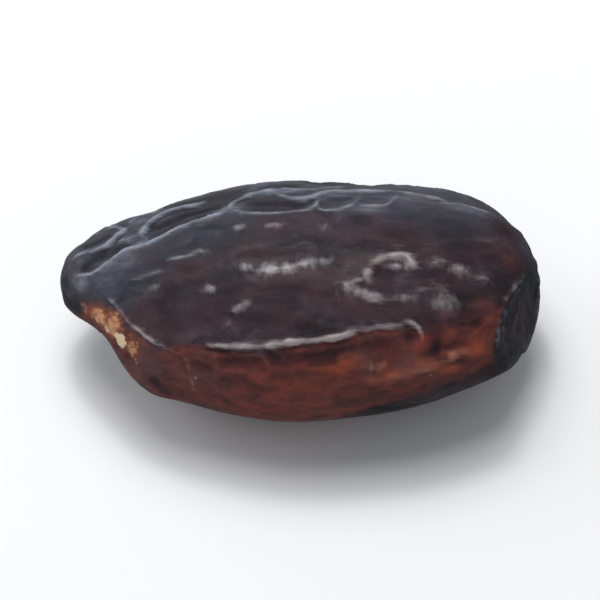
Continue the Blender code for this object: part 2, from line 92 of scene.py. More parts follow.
# Ridges of the shown side: height, half width, depth of the trough on the upper side and
# on the lower side, and the points of the route. A ridge is steep where its trough is deeper.
RIDGES = {
    "upper": (0.20, 0.16, 0.16, 0.0, [(0.7, 0.9), (1.2, 1.5), (2.2, 1.7), (3.1, 2.35), (4.3, 3.15),
                                      (5.2, 3.4), (6.4, 3.8), (7.2, 4.35), (8.3, 4.8), (9.4, 5.2),
                                      (10.7, 5.75)]),
    "upper_end": (0.16, 0.15, 0.0, 0.08, [(10.4, 5.6), (10.8, 6.1), (11.5, 6.5), (12.6, 6.85),
                                          (13.6, 6.95)]),
    "beak_fold": (0.15, 0.15, 0.04, 0.12, [(0.6, 2.4), (1.3, 2.8), (2.1, 3.0), (2.9, 3.4), (3.5, 3.95),
                                           (3.9, 4.3), (4.6, 4.6)]),
    "beak_back": (0.10, 0.14, 0.06, 0.0, [(4.1, 4.4), (3.5, 4.55), (2.7, 4.4), (2.0, 4.1)]),
    "beak_crease": (0.08, 0.12, 0.0, 0.05, [(3.6, 3.7), (4.3, 3.75), (5.1, 3.9), (5.7, 3.8)]),
    "shoulder_fold": (0.17, 0.15, 0.0, 0.14, [(5.0, 3.6), (5.3, 4.4), (5.8, 5.0), (6.6, 5.5),
                                              (7.6, 5.95), (8.6, 6.3), (9.6, 6.65)]),
    "shoulder_edge": (0.10, 0.14, 0.0, 0.06, [(4.2, 4.75), (4.9, 5.1), (5.6, 5.35), (6.6, 5.8)]),
    "chain": (0.12, 0.14, 0.08, 0.0, [(10.5, 5.75), (11.3, 5.55), (12.8, 5.45), (14.4, 5.5),
                                      (15.5, 5.65), (16.1, 6.1), (16.3, 6.6)]),
    "chain_next": (0.11, 0.14, 0.08, 0.0, [(15.8, 5.85), (16.4, 5.6), (17.1, 5.6), (17.9, 5.75),
                                           (18.5, 6.1), (18.8, 6.6)]),
    "chain_last": (0.10, 0.14, 0.06, 0.0, [(18.4, 6.0), (19.1, 5.8), (20.2, 5.85), (20.7, 6.15),
                                           (21.2, 6.6)]),
    "chain_top": (0.11, 0.15, 0.0, 0.05, [(12.4, 6.95), (13.4, 6.75), (14.4, 6.4), (15.6, 6.4),
                                          (16.8, 6.75), (18.3, 6.75), (19.9, 6.7), (21.5, 6.7),
                                          (23.3, 6.4), (24.6, 6.05)]),
    "chain_back": (0.08, 0.14, 0.04, 0.0, [(13.6, 7.1), (15.2, 6.95), (16.6, 7.0), (18.0, 7.05)]),
    "tail_fold": (0.10, 0.18, 0.06, 0.0, [(23.4, 6.1), (24.6, 5.95), (25.8, 5.75), (26.9, 5.4),
                                          (27.8, 4.8)]),
    "keel": (0.19, 0.13, 0.0, 0.12, [(8.2, -2.65), (9.0, -2.75), (9.9, -2.8), (11.7, -2.9),
                                     (14.0, -2.67), (15.6, -2.5), (17.1, -2.3), (18.2, -2.0),
                                     (19.2, -1.8)]),
    "keel_end": (0.14, 0.12, 0.0, 0.10, [(18.2, -2.0), (19.4, -1.75), (20.6, -1.6), (21.6, -1.45),
                                         (22.2, -1.65), (22.5, -2.2), (22.5, -2.9)]),
    "collar": (0.10, 0.12, 0.0, 0.04, [(2.8, 0.6), (3.6, -0.35), (4.3, -1.25), (5.2, -1.95),
                                       (6.3, -2.75), (7.1, -3.1), (7.9, -3.8), (8.2, -4.8),
                                       (8.5, -6.1)]),
    "loop_rim": (0.06, 0.22, 0.0, 0.05, [(19.1, 1.2), (19.3, 1.9), (19.9, 2.5), (20.8, 2.8),
                                         (21.6, 2.75), (22.05, 2.3), (22.1, 1.7)]),
    "loop_foot": (0.04, 0.22, 0.02, 0.0, [(19.3, 1.4), (18.6, 1.2), (18.0, 0.8), (18.7, 0.4),
                                          (19.5, 0.2), (20.3, 0.1), (21.4, 0.25)]),
    "pit_rim": (0.08, 0.20, 0.0, 0.05, [(22.9, 2.2), (23.7, 2.3), (24.6, 2.1), (25.3, 1.7),
                                        (26.2, 1.3), (27.0, 0.9)]),
    "soft_rim": (0.04, 0.30, 0.0, 0.03, [(22.2, 0.5), (23.0, 0.7), (23.8, 0.5), (24.3, -0.1),
                                         (24.3, -0.9)]),
    "faint": (0.06, 0.20, 0.03, 0.0, [(17.4, 3.1), (19.5, 3.25), (21.6, 3.3), (23.9, 3.5),
                                      (26.0, 3.6), (28.2, 3.7)]),
    "faint_left": (0.06, 0.16, 0.02, 0.0, [(4.0, 0.9), (5.0, 1.35), (6.0, 1.7), (7.4, 1.95)]),
    "dash": (0.05, 0.18, 0.04, 0.0, [(6.6, 2.4), (7.4, 2.6), (8.2, 2.75), (9.1, 3.15)]),
    "dash_above": (0.04, 0.16, 0.03, 0.0, [(9.6, 4.15), (10.4, 4.3), (11.2, 4.6), (11.9, 4.7)]),
    "slant": (0.08, 0.18, 0.0, 0.02, [(10.8, -0.75), (11.5, -0.25), (12.1, 0.1)]),
    "red_fold": (0.13, 0.26, 0.06, 0.0, [(18.6, -4.6), (19.6, -5.0), (20.9, -4.75), (22.2, -4.3),
                                         (23.4, -3.9), (24.8, -3.4), (26.0, -2.9)]),
    "red_crease": (0.06, 0.20, 0.03, 0.0, [(9.4, -4.3), (12.0, -4.6), (15.0, -4.4), (18.2, -3.9),
                                           (20.4, -3.3)]),
    "flat_rim": (0.07, 0.15, 0.0, 0.04, [(29.4, 1.8), (28.7, 0.9), (27.8, 0.1), (27.45, -1.2),
                                         (27.3, -3.0)]),
    "flat_streak": (0.04, 0.14, 0.0, 0.0, [(29.3, 1.0), (28.6, 0.0), (28.1, -1.2), (28.2, -2.4)]),
    "flat_far_rim": (0.04, 0.14, 0.0, 0.0, [(29.55, 0.2), (29.4, -1.2), (29.0, -2.4)]),
}

# Long hollows of the shown side: depth, half width and the points of the route
HOLLOWS = {
    "beak": (0.19, 0.36, [(1.3, 2.1), (2.1, 2.4), (2.9, 2.85), (3.7, 3.4)]),
    "beak_upper": (0.16, 0.36, [(1.2, 3.25), (2.2, 3.6), (3.3, 4.2)]),
    "shoulder": (0.26, 0.38, [(5.6, 4.2), (6.6, 4.8), (7.8, 5.35), (9.0, 5.8), (10.4, 6.2)]),
    "chain": (0.14, 0.30, [(11.4, 6.0), (12.8, 6.0), (14.4, 5.95), (15.6, 6.05)]),
    "chain_next": (0.13, 0.28, [(16.7, 6.15), (17.6, 6.2), (18.3, 6.35)]),
    "chain_last": (0.11, 0.26, [(19.2, 6.25), (20.0, 6.25), (20.6, 6.45)]),
    "chain_back": (0.08, 0.22, [(14.2, 6.75), (15.4, 6.72), (16.2, 6.85)]),
    "below_keel": (0.10, 0.40, [(10.0, -3.6), (13.0, -3.6), (17.0, -3.25), (20.0, -2.7)]),
    "dash": (0.08, 0.30, [(6.4, 3.0), (7.6, 3.3), (8.8, 3.8)]),
}

# Bumps of the shown side, which carry painted glints: station, rise, half length, half width, height
BUMPS = {
    "row_a": (11.6, 2.0, 0.32, 0.34, 0.027),
    "row_b": (13.1, 1.95, 0.55, 0.38, 0.036),
    "row_c": (14.3, 2.1, 0.55, 0.36, 0.036),
    "row_d": (15.5, 2.3, 0.55, 0.34, 0.036),
    "row_e": (16.6, 2.45, 0.55, 0.32, 0.021),
    "left_a": (9.4, 0.65, 0.24, 0.22, 0.036),
    "left_b": (5.9, 0.9, 0.42, 0.22, 0.026),
    "left_c": (8.8, 3.0, 0.40, 0.18, 0.026),
    "left_d": (10.5, -1.5, 0.30, 0.24, 0.024),
    "slant_a": (11.2, -0.5, 0.30, 0.24, 0.032),
    "slant_b": (11.7, -0.1, 0.30, 0.22, 0.032),
    "high_a": (11.0, 4.5, 0.30, 0.20, 0.034),
    "high_b": (13.4, 4.7, 0.50, 0.20, 0.028),
    "high_c": (16.6, 4.5, 0.50, 0.22, 0.018),
    "foot_a": (18.1, 0.7, 0.50, 0.40, 0.036),
    "foot_b": (18.9, 0.45, 0.45, 0.32, 0.040),
    "foot_c": (19.6, 0.25, 0.36, 0.30, 0.050),
    "foot_d": (19.2, 1.4, 0.26, 0.42, 0.032),
    "foot_e": (21.6, 0.15, 0.70, 0.28, 0.026),
    "rim_a": (21.1, 2.65, 0.55, 0.26, 0.042),
    "rim_b": (21.9, 2.35, 0.24, 0.36, 0.040),
    "rim_c": (21.0, 2.0, 0.50, 0.24, 0.032),
    "soft": (23.9, -0.2, 0.65, 0.50, 0.031),
    "pit_a": (23.6, 2.15, 0.34, 0.28, 0.026),
    "pit_b": (24.9, 1.9, 0.50, 0.34, 0.038),
    "pit_c": (26.3, 1.3, 0.45, 0.24, 0.024),
    "red_a": (19.8, -4.2, 0.60, 0.35, 0.026),
    "red_b": (22.4, -4.3, 0.80, 0.22, 0.030),
    "red_c": (24.4, -3.3, 0.40, 0.28, 0.034),
}

# Soft swells (height above 0) and hollows (below 0) of the shown side:
# station, rise, half length, half width, height
SWELLS = {
    "loop_hollow": (20.6, 1.45, 1.00, 0.75, -0.20),
    "pit_hollow": (24.2, 1.1, 0.90, 0.50, -0.14),
    "foot_hollow": (20.6, -0.7, 1.60, 0.45, -0.08),
    "soft_swell": (23.6, 0.0, 0.90, 0.70, 0.08),
    "beak_slope": (3.8, 1.5, 1.80, 0.90, 0.08),
    "keel_end_pit": (21.7, -2.2, 0.50, 0.40, -0.14),
    "fold_pit": (23.5, -2.8, 0.45, 0.70, -0.14),
    "tail_pit": (25.1, -1.4, 0.50, 0.60, -0.14),
    "tail_swell": (26.3, -2.7, 0.90, 0.80, 0.12),
    "tail_pinch": (24.2, -1.0, 0.60, 0.35, 0.08),
    "flat_hollow": (28.6, -1.2, 0.80, 1.60, -0.18),
    "flat_corner": (29.0, -3.0, 0.80, 1.20, 0.22),
    "shoulder": (9.0, 6.3, 2.50, 1.60, -0.36),
    "scar_foot": (6.0, -5.6, 1.40, 1.60, 0.24),
}

# How a ridge is made: the spacing of its points, the part of its length over which an end
# fades, how sharp its crest is and, in half widths, how far out the skin is looked at,
# where its trough is deepest and how wide its gentle side is
RIDGE_STEP = 0.12
RIDGE_END = 0.15
CREST_POWER = 1.5
RIDGE_REACH = 12.0
TROUGH_PLACE = 2.4
GENTLE_SIDE = 2.2

# How far the ridges stray from their routes, over what length, and how uneven they are
STRAY = 0.18
STRAY_LENGTH = 1.4
STRAY_FINE = 0.06
STRAY_FINE_LENGTH = 0.5
UNEVEN_LENGTH = 1.3
UNEVENNESS = 0.5
UNEVEN_MIDDLE = 0.85
UNEVEN_TOP = 1.15

# The net of wrinkles on the sides that aren't shown, and how sharply its crests are marked with bloom
# and painted sheen
NET_CELL = (6.4, 2.0, 2.0)
NET_HEIGHT = 0.26
NET_DEPTH = 0.17
NET_LINE = 0.13
NET_WARP = 0.5
NET_WARP_LENGTH = 2.6
NET_HOLLOW = 0.8
NET_STRENGTH = 0.65
NET_CHANGE = 0.5
NET_CHANGE_LENGTH = 5.0
NET_SEED = (3.7, 1.9, 8.2)
NET_MARK_POWER = 1.4
NOISE_SEED = 11

# The shown side, in degrees round the bean, how softly it ends and what it has of the net
SHOWN_FROM = 28.0
SHOWN_TO = 212.0
SHOWN_FADE = 22.0
SHOWN_NET = 0.05

# The broad lumps of the whole bean
LUMP_HEIGHT = 0.14
LUMP_SIZE = 6.5

# The relief fades this close to the ground and to the beak's tip
REST_SMOOTH = 0.6
TIP_SMOOTH = 0.5

# Steps in millimetres and degrees for finding the main form's normals
NORMAL_STEP = 0.02
NORMAL_TURN = 0.5

# How pale each ridge's crest is, from wear and painted highlight, and how much wider than the crest
# the pale mark is
CREST_WEAR_AND_HIGHLIGHT_STRENGTH = {
    "upper": 1.2, "upper_end": 1.0, "beak_fold": 1.1, "beak_back": 0.75, "beak_crease": 0.6,
    "shoulder_fold": 1.05, "shoulder_edge": 0.75, "chain": 0.8, "chain_next": 0.75,
    "chain_last": 0.75, "chain_top": 0.85, "chain_back": 0.8, "tail_fold": 0.75, "keel": 1.3,
    "keel_end": 0.9, "collar": 0.75, "loop_rim": 0.45, "loop_foot": 0.3, "pit_rim": 0.4,
    "soft_rim": 0.15, "faint": 0.1, "faint_left": 0.35, "dash": 0.55, "dash_above": 0.4,
    "slant": 0.5, "red_fold": 0.45, "red_crease": 0.1, "flat_rim": 0.4, "flat_streak": 0.4,
    "flat_far_rim": 0.35,
}
MARK_WIDTH = 1.8

# The bloom and painted sheen on the gentle side of some ridges
GENTLE_SIDE_BLOOM_AND_SHEEN = {
    "upper": 0.55, "upper_end": 0.7, "beak_fold": 0.7, "shoulder_fold": 0.6, "chain": 0.4,
    "chain_next": 0.4, "chain_last": 0.4, "chain_top": 0.5, "tail_fold": 0.5, "keel": 0.4,
    "keel_end": 0.3, "loop_rim": 0.5, "loop_foot": 0.4, "pit_rim": 0.4, "soft_rim": 0.25,
    "collar": 0.45, "flat_rim": 0.3, "flat_streak": 0.25, "flat_far_rim": 0.3,
}

# How strong a bump's painted glint is for each millimetre of its height, and how far the painted
# glint spreads, lengthwise and across, in the bump's half length and half width
BUMP_GLINT_STRENGTH = 27.0
GLINT_SPREAD = (1.5, 1.2)

# Where the crests' pale marks, of wear and painted highlight, are weaker: station, rise,
# half length, half width, how much less
DULLED = {
    "keel_start": (8.9, -2.75, 1.30, 0.60, 0.45),
    "keel_end": (20.8, -1.6, 1.60, 0.60, 0.25),
    "chain": (13.2, 5.6, 2.00, 0.40, 0.15),
}

# The red side's upper and lower borders, by distance from the beak's tip and rise. Towards the
# tail, the dark skin below the lower border is a painted shadow along the bean's lower edge
RED_TOP = [(0.0, -1.0), (1.5, -0.7), (2.8, -0.6), (4.4, -1.9), (6.2, -3.1), (8.0, -2.7),
           (9.2, -2.8), (10.5, -3.1), (11.7, -3.1), (14.0, -2.85), (17.1, -2.5), (18.6, -2.0),
           (21.3, -1.7), (22.8, -1.9), (24.4, -1.6), (26.2, -0.9), (28.0, 0.0), (30.0, 0.4)]
RED_BOTTOM = [(0.0, -9.0), (12.0, -9.0), (17.0, -7.6), (20.3, -6.5), (23.3, -5.4),
              (26.3, -4.2), (28.8, -3.0), (30.0, -3.0)]

# How softly the red side ends, how much more softly on the tail, where that starts and over
# what length, and the degrees round the bean that it lies between
RED_FADE = 0.9
RED_TAIL_FADE = 1.4
RED_TAIL_START = 21.0
RED_TAIL_LENGTH = 4.0
RED_ANGLES = (90.0, 236.0)
RED_ANGLE_FADE = 30.0

# The degrees round the bean that the blue-grey painted reflection lies between, counted from the
# lowest angle: the upper end, by distance from the beak's tip, the lower one, and how softly it ends
REFLECTION_SIDE = [(0.0, 160.0), (3.5, 150.0), (5.0, 120.0), (7.0, 97.0), (9.0, 80.0), (14.0, 64.0)]
REFLECTION_UNDERSIDE = -115.0
REFLECTION_FADE = 40.0
LOWEST_ANGLE = -150.0

# How far the painted shade of the tail's flat spreads round its edge, by rise, and how softly it ends
FLAT_SPREAD = [(-2.0, 0.40), (0.5, 0.20)]
FLAT_FADE = 0.16

# How deep below the main form the skin starts to get painted shade, and over what depth it darkens
HOLLOW_SHADE_START = 0.01
HOLLOW_SHADE_RANGE = 0.16

# Soft spots of colour: station, rise, half length, half width, strength.
# Where the red side is orange: orange patches of the skin and the scar, and painted highlights
ORANGE_PATCHES_AND_HIGHLIGHTS = {
    "tail": (25.9, -2.8, 0.75, 0.80, 0.75),
    "tail_streak": (26.5, -0.4, 0.80, 0.50, 0.3),
    "tail_top": (28.1, 2.6, 0.90, 0.80, 0.10),
    # painted highlights along the red fold and the band under the keel
    "fold": (23.9, -4.2, 1.30, 0.40, 0.8),
    "middle": (20.6, -4.4, 1.80, 0.60, 0.75),
    "left": (17.4, -4.0, 1.60, 0.60, 0.75),
    "fold_top": (22.2, -3.7, 1.10, 0.70, 0.65),
    "low": (14.6, -5.2, 2.60, 0.90, 0.25),
    "scar": (2.2, -0.9, 1.10, 0.55, 0.9),
    "scar_end": (4.9, -3.3, 0.60, 0.70, 0.35),
}

# Where the skin is darker: painted shade under the keel, in the loop and the pit, round the
# tail's flat and along the lower edge, and some dark patches of the skin
SHADES = {
    "below_keel": (14.5, -3.8, 5.00, 0.65, 0.65),
    "below_keel_left": (9.6, -3.9, 2.40, 0.80, 0.8),
    "below_keel_right": (19.8, -2.7, 1.80, 0.70, 1.0),
    "below_keel_end": (21.7, -2.3, 0.60, 0.60, 1.0),
    "fold": (23.5, -2.9, 0.45, 0.90, 0.9),
    "tail": (25.8, -1.35, 1.10, 0.55, 1.3),
    "tail_middle": (24.9, -2.6, 0.70, 0.70, 0.5),
    "tail_low": (23.0, -5.3, 2.20, 0.50, 0.7),
    "collar": (6.0, -3.6, 1.50, 0.90, 0.35),
    "beak_low": (7.0, -5.6, 1.60, 0.80, 0.5),
    "tail_pinch": (27.3, -1.5, 0.45, 0.90, 0.7),
    "loop": (20.5, 1.3, 1.00, 0.70, 0.5),
    "pit": (24.3, 1.1, 0.80, 0.45, 0.5),
    "row": (14.0, 0.9, 2.80, 0.50, 0.65),
    "row_top": (12.8, 2.9, 2.40, 0.40, 0.9),
    "beak_rear": (6.2, 2.2, 0.70, 0.50, 0.6),
    "tail_side": (23.0, 1.3, 0.60, 0.50, 0.5),
    "tail_top": (27.8, 4.3, 1.10, 1.00, 1.3),
    "shoulder": (7.3, 4.8, 0.90, 0.30, 0.7),
    "keel_right": (18.0, -2.9, 1.10, 0.50, 0.7),
    "tail_edge": (27.0, -2.4, 0.50, 1.60, 0.6),
    "flat_low": (26.8, -4.2, 1.10, 0.80, 1.0),
    "upper_right": (21.0, 3.9, 1.40, 0.80, 0.8),
    "left_top": (8.0, 1.9, 1.10, 0.50, 0.7),
}

# Where the dark skin is more purple
PURPLES = {
    "upper": (13.0, 4.7, 4.00, 0.60, 0.7),
    "upper_right": (18.5, 5.0, 3.00, 0.55, 0.6),
    "above_keel": (9.5, -1.9, 4.00, 0.90, 0.7),
    "middle": (15.0, 0.6, 5.00, 1.20, 0.25),
    "loop": (20.4, 1.4, 0.90, 0.60, 1.0),
    "pit": (24.2, 1.2, 0.90, 0.50, 0.8),
    "tail": (24.2, -1.1, 0.90, 0.60, 1.0),
    "right": (26.5, 2.4, 1.80, 0.80, 0.4),
}

# Where a mauve dust dulls the skin
DUSTS = {
    "collar": (5.5, -3.9, 1.40, 1.80, 0.8),
    "left_low": (8.6, -4.8, 2.40, 1.40, 0.4),
    "keel_start": (7.9, -2.3, 1.20, 0.70, 0.5),
    "left": (8.4, -0.5, 1.70, 0.90, 0.3),
    "loop_low": (21.6, -0.4, 0.90, 0.50, 0.25),
    "slant": (12.4, -0.6, 1.20, 0.50, 0.2),
    "foot": (18.1, 0.1, 0.70, 0.40, 0.3),
    "tail": (24.1, -0.8, 0.70, 0.60, 0.5),
    "right": (25.8, 1.4, 0.90, 0.60, 0.3),
    # these two lighten the band under the keel's right part: a painted highlight
    "red": (21.7, -4.0, 0.90, 1.00, 0.6),
    "red_left": (19.2, -4.1, 0.80, 0.90, 0.6),
}

# Where a pale bluish bloom and painted sheen lie on the skin
BLOOM_AND_SHEEN_SPOTS = {
    "beak_meet": (5.0, 3.5, 0.80, 0.45, 1.6),
    "beak_body": (4.0, 2.5, 0.90, 0.60, 0.8),
    "beak_rise": (3.2, 2.2, 0.90, 0.45, 1.2),
    "beak_low": (1.4, 1.0, 0.70, 0.45, 0.9),
    "beak_side": (2.8, 1.1, 1.00, 0.50, 0.35),
    "keel": (12.2, -2.8, 0.80, 0.40, 0.9),
    "beak_top": (5.0, 4.9, 0.80, 0.30, 0.6),
    "upper_middle": (9.0, 5.0, 1.00, 0.30, 0.6),
    "upper_end": (10.6, 5.8, 0.90, 0.45, 1.1),
    "chain_top": (13.8, 6.9, 1.70, 0.35, 1.2),
    "chain_gap": (17.0, 6.6, 1.00, 0.25, 0.6),
    "chain_left": (19.3, 5.6, 1.10, 0.30, 0.7),
    "chain_end": (21.4, 6.3, 1.20, 0.35, 0.5),
    "tail_top": (25.4, 5.6, 1.30, 0.35, 0.6),
    "above_keel": (10.0, -2.0, 4.50, 0.80, 0.15),
}

# Where the scar is bare
SCARS = {
    "top": (1.5, -0.55, 0.55, 0.50, 0.6),
    "upper": (2.4, -1.1, 0.75, 0.80, 1.0),
    "middle": (3.3, -1.6, 0.85, 1.00, 1.0),
    "lower": (4.5, -3.0, 0.60, 0.90, 0.8),
}

# Where cream pith shows in the scar
PITHS = {
    "edge": (2.3, -1.35, 0.25, 0.30, 0.7),
    "upper": (2.85, -1.85, 0.35, 0.35, 0.85),
    "middle": (3.8, -2.5, 0.52, 0.60, 1.3),
    "lower": (4.8, -3.8, 0.14, 0.50, 0.8),
}

# Fine wrinkles that only the finished skin has: their size and height, how they wander,
# how narrow they are, the finer ones between them, and how their strength changes
FINE_CELL = (2.6, 1.0, 1.0)
FINE_HEIGHT = 0.022
FINE_WARP = 0.5
FINE_WARP_LENGTH = 1.7
FINE_SHARPNESS = 3.2
FINER_SCALE = 2.3
FINER_SHARE = 0.6
FINE_STRENGTH = 0.6
FINE_CHANGE = 0.7
FINE_CHANGE_LENGTH = 3.3

# The mesh, and the points of the outline that its rings are spaced by
RINGS = 340
COLUMNS = 288
OUTLINE_POINTS = 2001

# The skin's patterns: their size along each axis, and the values of the noise at which they
# start and are whole, or the distance from a speck's middle at which it thins and ends
PATCH_SIZE = (3.5, 2.2, 2.2)
PATCH_EDGES = (0.38, 0.62)
MOTTLE_SIZE = (1.6, 0.9, 0.9)
MOTTLE_EDGES = (0.32, 0.68)
STREAK_SIZE = (0.9, 0.7, 2.2)
STREAK_EDGES = (0.4, 0.75)
SPECK_SPACING = (2.0, 2.0, 2.0)
SPECK_EDGES = (0.035, 0.06)

# How much the masks show: those that the mottling breaks up, from where it is weakest to
# where it is strongest, the bloom and painted sheen, which a noise breaks up, and those that are even
MOTTLED = {"purple": (0.3, 1.0), "painted_reflection": (0.5, 0.9), "orange_and_highlight": (0.5, 1.0), "dust": (0.6, 1.0)}
BLOOM_AND_SHEEN_BREAKS = ((1.2, 0.5, 0.5), 0.2, 0.8, 4.0)
STRENGTH = {"shade": 0.75, "hollow": 0.8, "flat_shade": 0.9, "specks": 0.7, "painted_glint": 0.85}

# The ragged masks: the noise's size along each axis, the least and the most that it adds,
# its detail, and where the sum starts to show and shows wholly
RAGGED = {
    "painted_glint": ((0.45, 0.8, 0.8), -0.22, 0.22, 2.5, 0.1, 1.2),
    "red": ((1.8, 0.6, 0.6), -0.22, 0.22, 4.0, 0.05, 0.95),
    "crest": ((1.6, 0.4, 0.4), -0.18, 0.14, 4.0, 0.08, 1.0),
    "scar": ((0.7, 0.5, 0.5), -0.2, 0.2, 3.0, 0.2, 0.75),
    "tan": ((0.45, 0.3, 0.3), -0.4, 0.4, 3.0, 0.1, 1.3),
    "pith": ((0.45, 0.3, 0.3), -0.2, 0.2, 3.0, 0.45, 0.85),
}

# Where the fine relief puts painted shade in creases and pales crests with wear and painted
# highlight, and how much, and how red the skin is where a pale crest starts to be reddish and is
# wholly so
FINE_CREASE_SHADE = (-0.2, -0.9, 0.0, 0.55)
FINE_CREST_WEAR_AND_HIGHLIGHT = (0.3, 1.2, 0.0, 0.35)
REDDISH_EDGES = (0.6, 1.0)

# The skin's shine: its roughness, from least to most, and how much rougher the scar and
# the shades are; the coat, from plain skin to the bumps with painted glints, and what the hollows keep
# of it
ROUGH_SIZE = (1.6, 0.7, 0.7)
ROUGHNESS = (0.42, 0.58)
SCAR_ROUGHER = 0.2
SHADE_ROUGHER = 0.3
SKIN_IOR = 1.45
SKIN_SPECULAR = 0.2
COAT = (0.12, 0.8)
HOLLOW_COAT = 0.2
COAT_ROUGHNESS = 0.27

# The skin's grain and pores: size along each axis, depth, and how far a pore's edge is out
GRAIN_SIZE = (0.9, 0.28, 0.28)
GRAIN_DEPTH = 0.10
PORE_SIZE = (0.42, 0.3, 0.3)
PORE_DEPTH = 0.03
PORE_EDGES = (0.05, 0.35)
BUMP_STRENGTH = 0.12

# Nearly all of a noise lies between these values
NOISE_RANGE = (0.3, 0.7)

# The camera, in metres and millimetres, and how much of the frame's width the bean takes
CAMERA_DISTANCE = 0.6
CLIP_START = 0.01
SENSOR_WIDTH = 36.0
BEAN_SHARE = 0.8

# The floor
FLOOR_HALF = 3.0
FLOOR_TONE = 0.96
FLOOR_ROUGHNESS = 0.9
FLOOR_SPECULAR = 0.1

# The surround: its colour, the way to its bright side, how far round that reaches, the
# plain and the bright strength, where the bright band ends above and where it is dark below
WORLD_TINT = (0.92, 0.96, 1.0)
BRIGHT_SIDE = (-0.50, 0.85, 0.12)
BRIGHT_SIDE_REACH = (0.25, 1.0)
WORLD_STRENGTH = (0.30, 1.3)
BAND_TOP = (0.22, 0.50)
DARK_EDGE = (-0.45, -0.12)
DARK_STRENGTH = 0.15

# The lamps: place in metres, power in watts, width in metres, tint, and if gloss shows them
LAMPS = {
    "overhead_softbox": ((-0.05, 0.17, 0.42), 1.2, 0.30, (0.99, 0.99, 1.0), False),
    "gloss_lamp": ((-0.05, 0.20, 0.42), 0.40, 0.08, (0.99, 0.99, 1.0), True),
    "left_softbox": ((-0.50, 0.20, 0.32), 0.7, 0.40, (0.90, 0.95, 1.0), True),
}


def end_cap(distance, length, power):
    """How full the bean is this far from an end, from 0 at the tip to 1."""
    gap = np.clip(1.0 - distance / length, 0.0, 1.0)
    return (1.0 - gap**power) ** (1.0 / power)


def smoothstep(value):
    """0 below 0 and 1 above 1, with a smooth rise between."""
    value = np.clip(value, 0.0, 1.0)
    return value * value * (3.0 - 2.0 * value)


def plain_form(stations, angles):
    """Points of the smooth seed, before its notch and its flat."""
    fullness = end_cap(stations, BEAK_LENGTH, BEAK_POWER)
    fullness = fullness * end_cap(LENGTH - stations, TAIL_LENGTH, TAIL_POWER)
    half_width = HALF_WIDTH * fullness + TINY
    half_thickness = HALF_THICKNESS * fullness**THICKNESS_FULLNESS + TINY
    beak = np.clip(1.0 - stations / BEAK_SHIFT_LENGTH, 0.0, 1.0) ** BEAK_SHIFT_POWER
    tail = np.exp(-(((stations - TAIL_SHIFT_STATION) / TAIL_SHIFT_LENGTH) ** 2))
    side = BEAK_SIDE * beak + TAIL_SIDE * tail
    lift = HALF_THICKNESS - REST_DEPTH + BEAK_LIFT * beak + TAIL_LIFT * tail
    turn = np.radians(angles)
    across = np.abs(np.cos(turn) / half_width) ** SECTION_POWER
    upright = np.abs(np.sin(turn) / half_thickness) ** SECTION_POWER
    radius = (across + upright) ** (-1.0 / SECTION_POWER)
    return np.stack(
        (stations - LENGTH / 2, side + radius * np.cos(turn), lift + radius * np.sin(turn)),
        axis=-1,
    )


def notch_axes():
    """The notch's centre, and the directions along it and into the bean."""
    centre = plain_form(np.array([NOTCH_STATION]), np.array([NOTCH_ANGLE]))[0]
    slant = math.radians(NOTCH_SLANT)
    along = np.array((math.cos(slant), math.sin(slant), 0.0))
    inward = np.array((-math.sin(slant), math.cos(slant), 0.0))
    return centre, along, inward


def notched(points):
    """The points moved in where the scar's notch is."""
    centre, along, inward = notch_axes()
    offset = points - centre
    reach = (offset @ along / NOTCH_HALF_LENGTH) ** 2
    reach += (offset[..., 2] / NOTCH_HALF_HEIGHT) ** 2
    reach += (offset @ inward / NOTCH_HALF_LENGTH) ** 2
    return points + NOTCH_DEPTH * np.exp(-reach)[..., None] * inward


def above_flat(points):
    """How far the points stand in front of the tail's flat, and the way that it faces."""
    facing = np.array(FLAT_FACING) / np.linalg.norm(FLAT_FACING)
    return (points - np.array(FLAT_POINT)) @ facing, facing


def flattened(points):
    """The points pulled back to the tail's flat, with a rounded edge round it."""
    above, facing = above_flat(points)
    excess = FLAT_EDGE * np.logaddexp(0.0, above / FLAT_EDGE)
    return points - excess[..., None] * facing


def form(stations, angles):
    """Points of the seed's main form, without its wrinkles."""
    return flattened(notched(plain_form(stations, angles)))


def outward(stations, angles):
    """The main form's normals."""
    low = np.clip(stations - NORMAL_STEP, TIP_GAP, LENGTH - TIP_GAP)
    high = np.clip(stations + NORMAL_STEP, TIP_GAP, LENGTH - TIP_GAP)
    lengthwise = form(high, angles) - form(low, angles)
    round_it = form(stations, angles + NORMAL_TURN) - form(stations, angles - NORMAL_TURN)
    normals = np.cross(lengthwise, round_it)
    return -normals / np.linalg.norm(normals, axis=-1, keepdims=True)


def rise_of(points):
    """How high the points stand in the view, above the middle of the bean."""
    view = math.radians(VIEW_ELEVATION)
    return points[:, 1] * math.sin(view) + (points[:, 2] - HALF_THICKNESS) * math.cos(view)


def shown_point(station, rise):
    """The point of the main form seen at this distance from the beak and this rise."""
    angles = np.linspace(*SEEN_ANGLES)
    points = form(np.full(angles.shape, station), angles)
    rises = rise_of(points)
    first = int(np.argmax(rises))
    last = int(np.argmin(rises))
    angle = np.interp(-rise, -rises[first : last + 1], angles[first : last + 1])
    return form(np.array([station]), np.array([angle]))[0]


def smooth_route(route):
    """A Catmull-Rom curve through a route, as closely spaced points."""
    knots = [np.array(point) for point in route]
    knots = [2 * knots[0] - knots[1]] + knots + [2 * knots[-1] - knots[-2]]
    points = []
    for before, start, end, after in zip(knots, knots[1:], knots[2:], knots[3:]):
        count = max(2, int(np.linalg.norm(end - start) / RIDGE_STEP))
        for step in range(count):
            t = step / count
            points.append(
                0.5 * (2 * start + (end - before) * t
                       + (2 * before - 5 * start + 4 * end - after) * t * t
                       + (3 * start - before - 3 * end + after) * t**3)
            )
    points.append(knots[-2])
    return points


